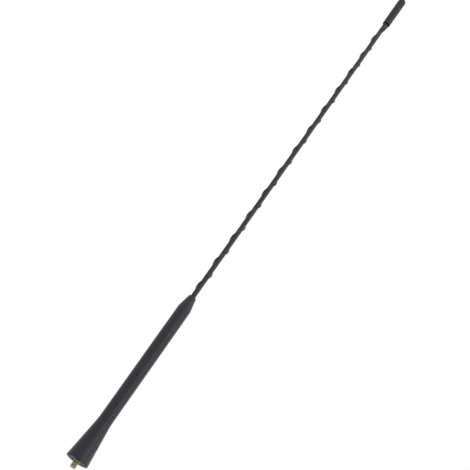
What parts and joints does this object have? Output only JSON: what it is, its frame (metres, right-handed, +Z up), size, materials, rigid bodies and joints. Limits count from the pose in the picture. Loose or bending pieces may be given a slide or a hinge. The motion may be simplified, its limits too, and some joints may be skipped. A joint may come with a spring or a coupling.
{
  "type": "car antenna",
  "caption": "Screw-in whip antenna for a car roof: flared moulded handle with a threaded brass stud, and a long rod with a helical ridge and a domed tip cap.",
  "frame": {"origin": "centre of the foot's seating face, at the root of the threaded stud", "axes": "+Z up the mast to its tip; -Z points down the stud; -Y faces the picture's camera"},
  "size_m": [0.0188, 0.0188, 0.5503],
  "materials": {
    "brass": "turned, dull yellow brass with a cut thread",
    "glass_fibre": "pultruded glass fibre, hidden by the sleeve",
    "copper_wire": "enamelled copper wire, hidden by the sleeve",
    "shrink_skin": "satin black shrunk skin",
    "handle_plastic": "fine matt moulded black, slightly blue",
    "cap_rubber": "matt black soft plastic"
  },
  "bodies": {
    "root": {"ferrule": "brass", "core_rod": "glass_fibre", "antenna_wire": "copper_wire", "sleeve": "shrink_skin", "handle": "handle_plastic", "tip_cap": "cap_rubber"}
  },
  "joints": []
}
